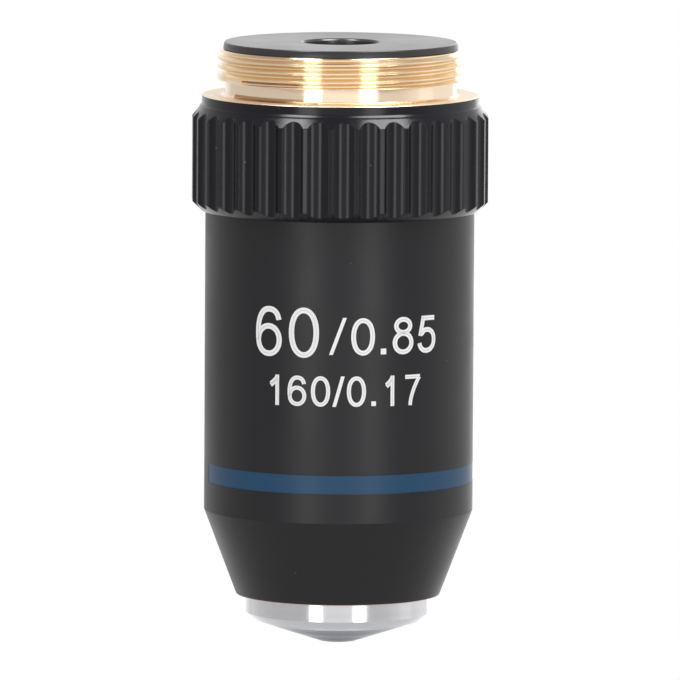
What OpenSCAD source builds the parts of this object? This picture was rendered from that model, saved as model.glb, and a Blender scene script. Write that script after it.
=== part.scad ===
// High-power microscope objective with a nose that retracts against a spring.
// The origin is the centre of the shoulder plane. +Z runs out along the mounting thread,
// and the nose points down. Distances "below the shoulder" are measured along -Z.
// The diameters build up from the cell bore outwards, each by a named wall or step.

/* [Mounting thread] */
// Major diameter of the mounting thread
thread_d = 20.27; // [20.1:0.01:20.4]
// Length of the threaded part
thread_len = 2.6; // [2.2:0.1:3.4]
// Bevel at the end of the thread
thread_bevel = 0.4; // [0.2:0.05:0.45]
// Depth of the plain relief between thread and shoulder
relief_depth = 0.66; // [0.5:0.02:0.9]
// Length of the relief
relief_len = 1.15; // [0.9:0.05:1.5]
// Wall between the relief and the rear bore
rear_wall = 1.275; // [1:0.025:1.8]

/* [Rear stop] */
// How far the stop's disc lies inside the thread's crests, on the radius
stop_inset = 0.485; // [0.4:0.005:0.9]
// Thickness of the disc
stop_t = 0.6; // [0.4:0.05:1]
// Taper of the disc's rim, on the radius
stop_taper = 0.13; // [0:0.01:0.2]
// Diameter of the light hole
stop_hole_d = 6.2; // [4.8:0.1:9]
// Bevel round the light hole
stop_hole_bevel = 0.15; // [0.05:0.05:0.3]
// Length of the boss that screws into the bore
stop_boss_len = 1.8; // [1:0.1:2.6]

/* [Shoulder and grip] */
// How far the shoulder lies inside the grip's lands, on the radius
collar_step = 0.8; // [0.65:0.05:1]
// Height of the collar
collar_h = 0.72; // [0.5:0.02:0.8]
// Flare at the foot of the collar, on the radius
collar_flare = 0.2; // [0.1:0.05:0.3]
// Height of the plain foot under the flare
foot_h = 0.08; // [0.04:0.02:0.2]
// Height of the bevel between the foot and the lands
bevel_h = 0.8; // [0.6:0.05:1]
// Distance of the grip's lower end below the shoulder
grip_end = 9.45; // [9:0.05:10.5]
// Bevel at the grip's lower end, on the radius
grip_bevel = 0.75; // [0.5:0.05:0.9]
// Number of flutes
flute_count = 36; // [30:1:40]
// Depth of a flute
flute_depth = 0.4; // [0.25:0.05:0.45]
// Width of the land between two flutes
land_w = 0.38; // [0.25:0.01:0.6]
// Turn of the flutes about the axis, in degrees
flute_turn = 1.4; // [0:0.1:10]

/* [Outer sleeve] */
// Step from the sleeve's skin out to the grip's lands, on the radius
sleeve_step = 1.125; // [1:0.025:1.4]
// Step from the spigot that screws into the mount body out to the skin
spigot_step = 0.675; // [0.5:0.025:0.8]
// Wall of the spigot
sleeve_wall = 1.05; // [0.95:0.05:1.3]
// Distance of the spigot's rear end below the shoulder, shim included
ledge_depth = 2.2; // [1.8:0.1:2.8]
// Thickness of the parfocal shim
shim_t = 0.2; // [0.1:0.05:0.4]
// Distance below the shoulder at which the cone starts
cone_start = 34.1; // [32:0.1:36]
// Height of the cone
cone_h = 7.07; // [6.6:0.01:7.6]
// Width of the cone's lower face, beside the nose
cone_lip = 0.85; // [0.6:0.05:1]
// Rounding of the lower edge
sleeve_round = 0.3; // [0.1:0.05:0.35]
// Width of the inner ledge that stops the flange
ledge_w = 1.75; // [1.5:0.05:2]
// Distance of the ledge below the cone's start
ledge_drop = 0.9; // [0.6:0.1:1.3]
// Depth of the spring retainer's thread, from the bore
retainer_step = 0.2; // [0.15:0.05:0.3]
// Depth of the keyway, from the bore
keyway_depth = 0.6; // [0.4:0.05:0.65]

/* [Colour band] */
// Distance of the band's upper edge above the cone's start
band_gap = 3.97; // [2:0.01:6]
// Height of the band
band_h = 1.54; // [1:0.02:1.8]
// Depth of the groove that holds the enamel
band_depth = 0.08; // [0.05:0.01:0.2]
// Angle at which the band begins, in degrees from +X
band_from = 195.7; // [180:0.1:215]
// Angle that the band covers, in degrees
band_sweep = 336; // [300:1:350]

/* [Lens barrel] */
// Bore that holds the cells
cell_bore_d = 10; // [9.6:0.1:10.4]
// Wall of the barrel behind the flange
tube_wall = 2.2; // [2:0.05:2.4]
// Height of the flange
flange_h = 3; // [2.4:0.1:3.4]
// Distance between the retainer and the ledge, in which the flange slides
slide_room = 17.5; // [16.5:0.1:18.5]
// Thickness of the lip at the barrel's lower end
lip_t = 0.8; // [0.6:0.05:0.9]
// Width of that lip
lip_w = 2.7; // [2.4:0.1:3]
// Diameter of the guide pin
pin_d = 1; // [0.8:0.1:1.2]
// Length of the guide pin
pin_len = 1.9; // [1.5:0.1:2.2]
// How far the pin stays clear of the keyway's floor
pin_gap = 0.15; // [0.1:0.05:0.3]

/* [Sliding nose] */
// How far the nose retracts
travel = 2.5; // [1.5:0.1:3]
// How far the nose stands out past the barrel behind it, on the radius
nose_step = 0.35; // [0.2:0.05:0.5]
// Height of plain nose in view below the sleeve
nose_h = 1.45; // [1.3:0.01:1.6]
// Bevel at the nose's lower edge, on the radius
rim_w = 0.75; // [0.6:0.05:0.9]
// Height of that bevel
rim_h = 0.62; // [0.4:0.02:0.8]
// Width of the flatter ring between the bevel and the front cone
face_w = 0.8; // [0.5:0.1:1.2]
// Height of that ring
face_h = 0.08; // [0.04:0.02:0.16]
// Height of the front cone
tip_h = 1.63; // [1.5:0.01:1.8]
// Width of the flat ring round the front lens
tip_land = 0.4; // [0.3:0.05:0.5]
// Wall of the nose cap round the barrel's thread
cap_wall = 1.25; // [1.1:0.05:1.4]
// Depth of solid metal between the cap's inner floor and the bevel's foot
cap_floor_t = 1.34; // [1.2:0.02:1.5]

/* [Spring and retainer] */
// Height of the retainer
retainer_h = 2.5; // [2:0.1:3]
// Width of the face on which the barrel stops, and of the seat of the glare stop
stop_lap = 1.7; // [1.5:0.1:1.9]
// Width of the spanner slots
slot_w = 1.2; // [0.8:0.1:1.6]
// Depth of the spanner slots
slot_depth = 0.8; // [0.5:0.1:1]
// Wire diameter of the spring
wire_d = 0.6; // [0.4:0.05:0.7]
// Open turns of the spring
open_turns = 6; // [4:1:8]

/* [Cells] */
// Thickness of the lips that the lens pairs rest on
seat_t = 0.5; // [0.4:0.05:0.6]
// How far those lips lap the glass
glass_lap = 0.4; // [0.3:0.05:0.6]
// Pocket in the nose cap for the meniscus cell
pocket_d = 6; // [5.6:0.1:6.2]
// Metal left between the pocket and the front lens
front_web = 0.165; // [0.1:0.005:0.25]
// Height of the meniscus cell
meniscus_cell_h = 1.5; // [1.3:0.1:1.6]
// Wall of the meniscus cell round its glass
meniscus_wall = 1.2; // [1:0.05:1.4]
// Thickness of the lip of the meniscus cell
meniscus_lip_t = 0.2; // [0.15:0.05:0.3]
// How far that lip laps the glass
meniscus_lap = 0.3; // [0.2:0.05:0.4]
// Wall of both spacers
spacer_wall = 1; // [0.7:0.05:1.1]
// Height of the middle cell
middle_cell_h = 3.4; // [3.2:0.1:3.8]
// Height of the spacer between the cells
spacer_h = 2.7; // [2.2:0.1:3.2]
// Height of the rear cell
rear_cell_h = 5.5; // [5:0.1:6]
// How much smaller the rear cell is than its bore, on the radius
centring_gap = 0.1; // [0.06:0.02:0.16]
// Height of the cell lock ring
lock_h = 1.2; // [1:0.1:1.6]
// Diameter of a centring screw
screw_d = 1.2; // [1:0.1:1.4]
// Distance of the centring screws from the rear cell's rear end
screw_drop = 1.4; // [1.2:0.1:2]
// How far the screws' heads lie under the barrel's skin
screw_sink = 0.1; // [0.05:0.05:0.3]
// Width of the screws' slots
screw_slot_w = 0.2; // [0.15:0.05:0.3]
// Depth of the screws' slots
screw_slot_depth = 0.4; // [0.3:0.1:0.6]
// Thickness of the glare stop
glare_t = 0.8; // [0.5:0.1:1.2]
// Hole in the glare stop
glare_hole_d = 5.6; // [5:0.1:6.4]

/* [Lenses] */
// Radius of the half-ball front lens
front_r = 1.1; // [1.05:0.05:1.15]
// Width of the seat that holds the front lens from inside
front_seat_w = 0.3; // [0.2:0.05:0.4]
// Recess of the front lens behind the tip
front_recess = 0.03; // [0.02:0.01:0.05]
// Radius of the meniscus lens's hollow side, as a share of its diameter
meniscus_hollow = 0.66; // [0.62:0.01:0.75]
// Radius of its bulging side, as a share of its diameter
meniscus_bulge = 0.58; // [0.56:0.01:0.65]
// Thickness of the meniscus at its centre
meniscus_t = 1; // [0.9:0.05:1.1]
// Diameter of the middle pair, as a share of the cell bore
middle_share = 0.6; // [0.56:0.01:0.64]
// Front radius of the middle crown lens, as a share of its diameter
middle_front = 1.33; // [1.2:0.01:1.5]
// Radius of the cemented surface of the middle pair, as a share of its diameter
middle_bond = 0.75; // [0.7:0.01:0.85]
// Diameter of the rear pair, as a share of the cell bore
rear_share = 0.7; // [0.66:0.01:0.74]
// Front radius of the rear crown lens, as a share of its diameter
rear_front = 1.7; // [1.5:0.1:1.9]
// Radius of the cemented surface of the rear pair, as a share of its diameter
rear_bond = 0.93; // [0.88:0.01:1]
// Thickness of a crown lens at its centre
crown_t = 2; // [1.9:0.05:2.1]
// Thickness of a flint lens at its centre
flint_t = 0.65; // [0.5:0.05:0.8]

/* [Fits] */
// Running clearance of the sliding nose, on the radius
running_fit = 0.05; // [0.03:0.01:0.08]
// Clearance of a screwed or pressed seat, on the radius
seat_fit = 0.01; // [0.005:0.005:0.02]
// Gap left at each end stop of the travel
stop_gap = 0.02; // [0.01:0.01:0.05]

/* [Hidden] */
$fn = 96;
// How far a cutter reaches past what it cuts
cut_over = 1;
// Where a round's middle corner lies, as a share of the radius
round_mid = 1 - cos(45);
// Diameters of the threaded end
relief_d = thread_d - 2 * relief_depth;
rear_bore_d = relief_d - 2 * rear_wall;
stop_d = thread_d - 2 * stop_inset;
thread_end = relief_len + thread_len;
thread_runout = (thread_d - relief_d) / 2;
// Diameters from the cell bore outwards
tube_d = cell_bore_d + 2 * tube_wall;
nose_d = tube_d + 2 * nose_step;
guide_bore_d = nose_d + 2 * running_fit;
sleeve_bore_d = nose_d + 2 * ledge_w;
flange_d = sleeve_bore_d - 2 * running_fit;
retainer_bore_d = sleeve_bore_d + 2 * retainer_step;
spigot_d = sleeve_bore_d + 2 * sleeve_wall;
sleeve_d = spigot_d + 2 * spigot_step;
grip_d = sleeve_d + 2 * sleeve_step;
shoulder_d = grip_d - 2 * collar_step;
cone_end_d = guide_bore_d + 2 * cone_lip;
cap_bore_d = nose_d - 2 * cap_wall;
stop_ring_d = tube_d - 2 * stop_lap;
lip_hole_d = cell_bore_d - 2 * lip_w;
spring_d = (tube_d + sleeve_bore_d) / 2;
// Distances below the shoulder
bevel_start = collar_h + collar_flare + foot_h;
grip_start = bevel_start + bevel_h;
sleeve_top = ledge_depth + shim_t;
sleeve_end = cone_start + cone_h;
band_start = cone_start - band_gap;
ledge_end = cone_start + ledge_drop;
retainer_low = ledge_end - slide_room;
nose_edge = sleeve_end + nose_h;
nose_rim = nose_edge + rim_h;
nose_face = nose_rim + face_h;
tip_end = nose_face + tip_h;
cap_floor = nose_rim - cap_floor_t;
flange_low = ledge_end - stop_gap;
flange_top = flange_low - flange_h;
barrel_rear = retainer_low + travel + stop_gap;
barrel_end = cap_floor;
pin_place = (flange_low + flange_top) / 2;
middle_low = barrel_end - lip_t;
spacer_low = middle_low - middle_cell_h;
rear_low = spacer_low - spacer_h;
lock_low = rear_low - rear_cell_h;
screw_place = lock_low + screw_drop;
screw_count = 3;
screw_turn = 30;
// The cutter's radius follows from the chord and the depth of a flute.
flute_pitch = 360 / flute_count;
flute_chord = grip_d * sin(180 / flute_count) - land_w;
flute_rise = flute_depth - pow(flute_chord, 2) / (4 * grip_d);
cutter_r = (pow(flute_chord / 2, 2) + pow(flute_rise, 2)) / (2 * flute_rise);
cutter_place = grip_d / 2 - flute_depth + cutter_r;
// Guide pin and keyway
pin_tip = sleeve_bore_d / 2 + keyway_depth - pin_gap;
keyway_w = pin_d + 2 * running_fit;
// Front lens and its seat
front_seat_d = 2 * (front_r - front_seat_w);
seat_rise = sqrt(pow(front_r, 2) - pow(front_seat_d / 2, 2));
front_seat = tip_end - front_recess - seat_rise;
pocket_floor = front_seat - front_web;
tip_d = 2 * (front_r + tip_land);
// Glasses in their cells
meniscus_d = pocket_d - 2 * meniscus_wall;
middle_d = middle_share * cell_bore_d;
rear_d = rear_share * cell_bore_d;
rear_cell_d = cell_bore_d - 2 * centring_gap;
lens_edge = 0.03;
// The spring ends in a closed turn at each end.
spring_len = flange_top - retainer_low;
closed_pitch = wire_d * 1.05;
open_pitch = (spring_len - 2 * closed_pitch) / open_turns;
all_turns = open_turns + 2;
turn_steps = 24;
wire_sides = 8;
wire_steps = all_turns * turn_steps;

// Depth of a ball's surface below its crest, at a distance from the axis
function sag(ball_r, off) = ball_r - sqrt(ball_r * ball_r - off * off);

// Height of the wire's centre after a number of turns
function wire_rise(turn) =
    turn < 1 ? turn * closed_pitch
    : turn > all_turns - 1 ? spring_len - (all_turns - turn) * closed_pitch
    : closed_pitch + (turn - 1) * open_pitch;

// One corner of the wire's section at a step along the coil
function wire_point(step, side) =
    let (turn = step / turn_steps, off = side * 360 / wire_sides)
    [
        (spring_d / 2 + wire_d / 2 * cos(off)) * cos(turn * 360),
        (spring_d / 2 + wire_d / 2 * cos(off)) * sin(turn * 360),
        wire_rise(turn) + wire_d / 2 * sin(off)
    ];

// Drops what follows to a distance below the shoulder
module below(depth) translate([0, 0, -depth]) children();

// Plain ring whose lower face lies a distance below the shoulder
module ring(outer_d, inner_d, low, height) {
    below(low) difference() {
        cylinder(d = outer_d, h = height);
        translate([0, 0, -cut_over]) cylinder(d = inner_d, h = height + 2 * cut_over);
    }
}

// Two slots across a ring's upper face, for a pin spanner
module spanner_slots(low, height, across) {
    below(low - height + slot_depth)
        translate([-across / 2, -slot_w / 2, 0])
            cube([across, slot_w, slot_depth + cut_over]);
}

// Cell with a bore for the glass and a lip that the glass rests on
module cell(outer_d, glass_d, lap, low, height, lip) {
    below(low) difference() {
        cylinder(d = outer_d, h = height);
        translate([0, 0, -cut_over]) cylinder(d = glass_d - 2 * lap, h = height + 2 * cut_over);
        translate([0, 0, lip]) cylinder(d = glass_d + 2 * seat_fit, h = height);
    }
}

// Depth of a lens pair's front below the lip that it rests on, at the axis
function crest(glass_d, front) = sag(front * glass_d, glass_d / 2 - glass_lap);

// Lens that bulges on both sides, with its front on a lip. Its radii are shares of its diameter.
module crown(glass_d, front, bond, seat) {
    low = seat + crest(glass_d, front);
    intersection() {
        below(low) cylinder(d = glass_d, h = crown_t);
        below(low - front * glass_d) sphere(r = front * glass_d);
        below(low - crown_t + bond * glass_d) sphere(r = bond * glass_d);
    }
}

// Lens cemented on the crown lens, flat behind
module flint(glass_d, front, bond, seat) {
    low = seat + crest(glass_d, front) - crown_t;
    rim = low + sag(bond * glass_d, glass_d / 2) - lens_edge;
    difference() {
        below(rim) cylinder(d = glass_d, h = rim - low + flint_t);
        below(low + bond * glass_d) sphere(r = bond * glass_d);
    }
}

module mount_profile() {
    polygon([
        [rear_bore_d / 2, thread_end],
        [thread_d / 2 - thread_bevel, thread_end],
        [thread_d / 2, thread_end - thread_bevel],
        [thread_d / 2, relief_len],
        [relief_d / 2, relief_len - thread_runout / 2],
        [relief_d / 2, 0],
        [shoulder_d / 2, 0],
        [shoulder_d / 2, -collar_h],
        [shoulder_d / 2 + collar_flare, -collar_h - collar_flare],
        [shoulder_d / 2 + collar_flare, -bevel_start],
        [grip_d / 2, -grip_start],
        [grip_d / 2, -grip_end + grip_bevel],
        [grip_d / 2 - grip_bevel, -grip_end],
        [spigot_d / 2 + seat_fit, -grip_end],
        [spigot_d / 2 + seat_fit, -ledge_depth],
        [rear_bore_d / 2, -ledge_depth]
    ]);
}

module flutes() {
    for (i = [0:flute_count - 1])
        rotate([0, 0, flute_turn + i * flute_pitch])
            translate([cutter_place, 0, -grip_end - cut_over])
                cylinder(r = cutter_r, h = grip_end + cut_over - collar_h / 2, $fn = 32);
}

module mount_body() {
    color("goldenrod") difference() {
        rotate_extrude() mount_profile();
        flutes();
    }
}

module rear_stop() {
    top = thread_end + stop_t;
    color("dimgray") rotate_extrude() polygon([
        [stop_hole_d / 2 + stop_hole_bevel, top],
        [stop_d / 2 - stop_taper, top],
        [stop_d / 2, thread_end],
        [rear_bore_d / 2 - seat_fit, thread_end],
        [rear_bore_d / 2 - seat_fit, thread_end - stop_boss_len],
        [stop_hole_d / 2, thread_end - stop_boss_len],
        [stop_hole_d / 2, top - stop_hole_bevel]
    ]);
}

module parfocal_shim() {
    color("silver") ring(spigot_d - 2 * seat_fit, retainer_bore_d, sleeve_top, shim_t);
}

module sleeve_profile() {
    corner = cone_end_d / 2;
    polygon([
        [retainer_bore_d / 2, -sleeve_top],
        [spigot_d / 2, -sleeve_top],
        [spigot_d / 2, -grip_end],
        [sleeve_d / 2, -grip_end],
        [sleeve_d / 2, -cone_start],
        [corner, -sleeve_end + sleeve_round],
        [corner - sleeve_round * round_mid, -sleeve_end + sleeve_round * round_mid],
        [corner - sleeve_round, -sleeve_end],
        [guide_bore_d / 2, -sleeve_end],
        [guide_bore_d / 2, -ledge_end],
        [sleeve_bore_d / 2, -ledge_end],
        [sleeve_bore_d / 2, -retainer_low],
        [retainer_bore_d / 2, -retainer_low]
    ]);
}

module keyway() {
    below(ledge_end)
        translate([-keyway_w / 2, 0, 0])
            cube([keyway_w, sleeve_bore_d / 2 + keyway_depth, ledge_end]);
}

module band_ring(outer_d) {
    below(band_start + band_h)
        rotate([0, 0, band_from])
            rotate_extrude(angle = band_sweep)
                translate([sleeve_d / 2 - band_depth, 0])
                    square([outer_d / 2 - sleeve_d / 2 + band_depth, band_h]);
}

module outer_sleeve() {
    color("#202022") difference() {
        rotate_extrude() sleeve_profile();
        keyway();
        band_ring(sleeve_d + cut_over);
    }
}

module colour_band() {
    color("#32506e") band_ring(sleeve_d);
}

module spring_retainer() {
    color("darkgoldenrod") difference() {
        ring(retainer_bore_d - 2 * seat_fit, stop_ring_d, retainer_low, retainer_h);
        spanner_slots(retainer_low, retainer_h, sleeve_d);
    }
}

module spring_wire() {
    points = [for (step = [0:wire_steps], side = [0:wire_sides - 1]) wire_point(step, side)];
    walls = [for (step = [0:wire_steps - 1], side = [0:wire_sides - 1])
        let (here = step * wire_sides, next_side = (side + 1) % wire_sides)
        [here + side, here + wire_sides + side, here + wire_sides + next_side, here + next_side]
    ];
    first = [for (side = [0:wire_sides - 1]) side];
    last = [for (side = [wire_sides - 1:-1:0]) wire_steps * wire_sides + side];
    polyhedron(points, concat([first], walls, [last]), convexity = 10);
}

module retraction_spring() {
    color("lightsteelblue") below(flange_top) intersection() {
        spring_wire();
        cylinder(d = spring_d + 2 * wire_d, h = spring_len);
    }
}

module barrel_profile() {
    polygon([
        [cell_bore_d / 2, -barrel_rear - glare_t],
        [stop_ring_d / 2, -barrel_rear - glare_t],
        [stop_ring_d / 2, -barrel_rear],
        [tube_d / 2, -barrel_rear],
        [tube_d / 2, -flange_top],
        [flange_d / 2, -flange_top],
        [flange_d / 2, -flange_low],
        [cap_bore_d / 2 - seat_fit, -flange_low],
        [cap_bore_d / 2 - seat_fit, -barrel_end],
        [lip_hole_d / 2, -barrel_end],
        [lip_hole_d / 2, -middle_low],
        [cell_bore_d / 2, -middle_low]
    ]);
}

module guide_pin_shape(wide) {
    below(pin_place)
        translate([0, pin_tip, 0])
            rotate([90, 0, 0])
                cylinder(d = wide, h = pin_len);
}

module lens_barrel() {
    color("darkgoldenrod") difference() {
        rotate_extrude() barrel_profile();
        guide_pin_shape(pin_d + 2 * seat_fit);
        screw_row(screw_d + 2 * seat_fit, tube_d);
    }
}

module guide_pin() {
    color("gray") guide_pin_shape(pin_d);
}

// Three radial screws or their holes, out to a length beyond the rear cell
module screw_row(wide, reach) {
    for (i = [0:screw_count - 1])
        rotate([0, 0, screw_turn + i * 360 / screw_count])
            below(screw_place)
                translate([rear_cell_d / 2, 0, 0])
                    rotate([0, 90, 0])
                        cylinder(d = wide, h = reach);
}

module centring_screws() {
    screw_end = tube_d / 2 - screw_sink;
    color("gray") difference() {
        screw_row(screw_d, screw_end - rear_cell_d / 2);
        for (i = [0:screw_count - 1])
            rotate([0, 0, screw_turn + i * 360 / screw_count])
                below(screw_place)
                    translate([screw_end - screw_slot_depth, -screw_d, -screw_slot_w / 2])
                        cube([screw_slot_depth + cut_over, 2 * screw_d, screw_slot_w]);
    }
}

module nose_profile() {
    polygon([
        [cap_bore_d / 2, -flange_low],
        [nose_d / 2, -flange_low],
        [nose_d / 2, -nose_edge],
        [nose_d / 2 - rim_w, -nose_rim],
        [nose_d / 2 - rim_w - face_w, -nose_face],
        [tip_d / 2, -tip_end],
        [front_r + seat_fit, -tip_end],
        [front_r + seat_fit, -front_seat],
        [front_seat_d / 2, -front_seat],
        [front_seat_d / 2, -pocket_floor],
        [pocket_d / 2, -pocket_floor],
        [pocket_d / 2, -cap_floor],
        [cap_bore_d / 2, -cap_floor]
    ]);
}

module nose_cap() {
    color("lightgray") rotate_extrude() nose_profile();
}

module front_lens() {
    color("lightcyan", 0.5) below(tip_end - front_recess) intersection() {
        sphere(r = front_r);
        cylinder(r = 2 * front_r, h = 2 * front_r);
    }
}

module meniscus_cell() {
    color("darkgoldenrod")
        cell(pocket_d - 2 * seat_fit, meniscus_d, meniscus_lap, pocket_floor, meniscus_cell_h,
            meniscus_lip_t);
}

module meniscus_lens() {
    hollow_r = meniscus_hollow * meniscus_d;
    bulge_r = meniscus_bulge * meniscus_d;
    rest = pocket_floor - meniscus_lip_t;
    hollow = rest - sag(hollow_r, meniscus_d / 2);
    bulge = hollow - meniscus_t;
    color("lightcyan", 0.5) difference() {
        intersection() {
            below(rest) cylinder(d = meniscus_d, h = rest - bulge);
            below(bulge + bulge_r) sphere(r = bulge_r);
        }
        below(hollow + hollow_r) sphere(r = hollow_r);
    }
}

module meniscus_spacer() {
    low = pocket_floor - meniscus_cell_h;
    color("dimgray")
        ring(pocket_d - 2 * seat_fit, pocket_d - 2 * spacer_wall, low, low - barrel_end);
}

module middle_cell() {
    color("darkgoldenrod")
        cell(cell_bore_d - 2 * seat_fit, middle_d, glass_lap, middle_low, middle_cell_h, seat_t);
}

module middle_crown() {
    color("lightcyan", 0.5)
        crown(middle_d, middle_front, middle_bond, middle_low - seat_t);
}

module middle_flint() {
    color("lightblue", 0.5)
        flint(middle_d, middle_front, middle_bond, middle_low - seat_t);
}

module cell_spacer() {
    color("dimgray")
        ring(cell_bore_d - 2 * seat_fit, cell_bore_d - 2 * spacer_wall, spacer_low, spacer_h);
}

module rear_cell() {
    color("darkgoldenrod")
        cell(rear_cell_d, rear_d, glass_lap, rear_low, rear_cell_h, seat_t);
}

module rear_crown() {
    color("lightcyan", 0.5)
        crown(rear_d, rear_front, rear_bond, rear_low - seat_t);
}

module rear_flint() {
    color("lightblue", 0.5)
        flint(rear_d, rear_front, rear_bond, rear_low - seat_t);
}

module cell_lock_ring() {
    color("dimgray") difference() {
        ring(cell_bore_d - 2 * seat_fit, rear_d, lock_low, lock_h);
        spanner_slots(lock_low, lock_h, cell_bore_d + cut_over);
    }
}

module glare_stop() {
    color("#303030") ring(stop_ring_d - 2 * seat_fit, glare_hole_d, barrel_rear + glare_t, glare_t);
}

mount_body();
rear_stop();
parfocal_shim();
outer_sleeve();
colour_band();
spring_retainer();
retraction_spring();
lens_barrel();
guide_pin();
nose_cap();
front_lens();
meniscus_cell();
meniscus_lens();
meniscus_spacer();
middle_cell();
middle_crown();
middle_flint();
cell_spacer();
rear_cell();
rear_crown();
rear_flint();
centring_screws();
cell_lock_ring();
glare_stop();
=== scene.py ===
"""Microscope objective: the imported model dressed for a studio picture.

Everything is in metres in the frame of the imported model. The optical axis is Z, the shoulder that seats
against a nosepiece is at height 0, the thread is above it and the nose below. The numbers face -Y.
Sizes in the outlines below are millimetres, as on a workshop drawing.
"""
import math

import bpy
from mathutils import Matrix, Quaternion, Vector


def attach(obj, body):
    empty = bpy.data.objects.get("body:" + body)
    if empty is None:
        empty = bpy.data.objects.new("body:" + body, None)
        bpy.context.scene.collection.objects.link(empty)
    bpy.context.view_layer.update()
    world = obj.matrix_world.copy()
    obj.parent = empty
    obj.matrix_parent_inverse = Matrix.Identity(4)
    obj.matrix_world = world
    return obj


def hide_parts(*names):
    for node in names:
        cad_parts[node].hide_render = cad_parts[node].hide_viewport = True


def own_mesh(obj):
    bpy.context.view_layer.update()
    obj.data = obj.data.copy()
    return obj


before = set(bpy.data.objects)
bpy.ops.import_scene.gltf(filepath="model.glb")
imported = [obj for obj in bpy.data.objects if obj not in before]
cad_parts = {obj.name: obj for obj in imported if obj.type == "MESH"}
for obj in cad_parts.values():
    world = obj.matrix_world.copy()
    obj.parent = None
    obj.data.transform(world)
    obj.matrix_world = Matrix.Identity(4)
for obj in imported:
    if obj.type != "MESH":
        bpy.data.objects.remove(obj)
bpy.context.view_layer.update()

MM = 0.001

# Sizes shared by several pieces, in millimetres
SEGMENTS = 288          # facets round a turned piece
THREAD_R = 10.135
THREAD_ROOT_R = 9.69
THREAD_PITCH = 25.4 / 36
THREAD_TOP = 3.75
GROOVE_AT_LEFT = 1.98   # height of the second groove where it passes the -X side
LET_IN = 217            # degrees round the axis, where the thread's tool was let in
RELIEF_R = 9.475
RELIEF_TOP = 1.3
REAR_BORE_R = 8.2
SHOULDER_R = 11.35
GRIP_R = 12.15
GRIP_END = -9.45
SPIGOT_R = 10.35
SLEEVE_R = 11.025
SLEEVE_TOP = -2.4
CONE_TOP = -34.1
SLEEVE_END = -41.17
GUIDE_R = 7.6
NOSE_R = 7.55
FLUTES = 36
FLUTE_TURN = 1.4        # degrees
SEAT_GAP = 0.01         # room between a piece and what it sits in


# Workshop helpers

def drop_selection():
    if bpy.context.object and bpy.context.object.mode != "OBJECT":
        bpy.ops.object.mode_set(mode="OBJECT")
    bpy.ops.object.select_all(action="DESELECT")


def pick(piece):
    drop_selection()
    piece.select_set(True)
    bpy.context.view_layer.objects.active = piece
    return piece


def settle(piece):
    """Puts the piece's place into its mesh, so that its object sits at the origin, unturned."""
    pick(piece)
    bpy.ops.object.transform_apply(location=True, rotation=True, scale=True)
    return piece


def apply_modifiers(piece):
    pick(piece)
    for modifier in list(piece.modifiers):
        bpy.ops.object.modifier_apply(modifier=modifier.name)
    return piece


def join(pieces):
    drop_selection()
    for piece in pieces:
        piece.select_set(True)
    bpy.context.view_layer.objects.active = pieces[0]
    bpy.ops.object.join()
    return settle(bpy.context.object)


def edit_all(piece):
    """Enters edit mode with the whole piece selected."""
    pick(piece)
    bpy.ops.object.mode_set(mode="EDIT")
    bpy.ops.mesh.select_all(action="SELECT")


def face_outwards(piece):
    edit_all(piece)
    bpy.ops.mesh.normals_make_consistent(inside=False)
    bpy.ops.object.mode_set(mode="OBJECT")
    return piece


def tidy_mesh(piece, gap=0.002 * MM):
    """Merges doubled corners and turns every face outwards."""
    edit_all(piece)
    bpy.ops.mesh.remove_doubles(threshold=gap)
    return face_outwards(piece)


def close_ends(piece, gap=0.0001 * MM):
    """Fills the open ends of a swept section and turns every face outwards."""
    edit_all(piece)
    bpy.ops.mesh.remove_doubles(threshold=gap)
    bpy.ops.mesh.fill_holes(sides=0)
    return face_outwards(piece)


def smooth(piece, angle=32):
    pick(piece)
    bpy.ops.object.shade_smooth_by_angle(angle=math.radians(angle))
    return piece


def eased(outline, radius):
    """The same outline with each sharp corner turned into a small round.

    A corner may carry the radius of its own round as a third number.
    """
    gentlest_turn = math.radians(12)
    most_of_a_side = 0.4
    round_points = 4
    soft = []
    count = len(outline)
    for i, corner in enumerate(outline):
        here = Vector(corner[:2])
        before = Vector(outline[i - 1][:2]) - here
        after = Vector(outline[(i + 1) % count][:2]) - here
        turn = math.pi - before.angle(after)
        if turn < gentlest_turn:
            soft.append(tuple(here))
            continue
        own_radius = corner[2] if len(corner) > 2 else radius
        reach = own_radius * math.tan(turn / 2)
        reach = min(reach, before.length * most_of_a_side, after.length * most_of_a_side)
        start = here + before.normalized() * reach
        end = here + after.normalized() * reach
        for step in range(round_points):
            t = step / (round_points - 1)
            point = start * (1 - t) ** 2 + here * 2 * t * (1 - t) + end * t ** 2
            soft.append(tuple(point))
    return soft


def turned(name, outline, segments=SEGMENTS):
    """Turns a closed outline of (radius, height) pairs into a ring-shaped piece, ring by ring."""
    drop_selection()
    radius, height = outline[0]
    bpy.ops.mesh.primitive_circle_add(
        vertices=segments, radius=radius * MM, location=(0, 0, height * MM)
    )
    piece = bpy.context.object
    piece.name = name
    edit_all(piece)
    for new_radius, new_height in outline[1:] + outline[:1]:
        rise = (0, 0, (new_height - height) * MM)
        bpy.ops.mesh.extrude_edges_move(TRANSFORM_OT_translate={"value": rise})
        share = new_radius / radius
        bpy.ops.transform.resize(value=(share, share, 1), center_override=(0, 0, 0))
        radius, height = new_radius, new_height
    bpy.ops.object.mode_set(mode="OBJECT")
    settle(piece)
    return tidy_mesh(piece)


def bar(name, low, high):
    """A block between two corners, in millimetres, to cut a slot with."""
    drop_selection()
    low, high = Vector(low) * MM, Vector(high) * MM
    bpy.ops.mesh.primitive_cube_add(size=1, location=(low + high) / 2, scale=high - low)
    block = bpy.context.object
    block.name = name
    return settle(block)


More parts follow.
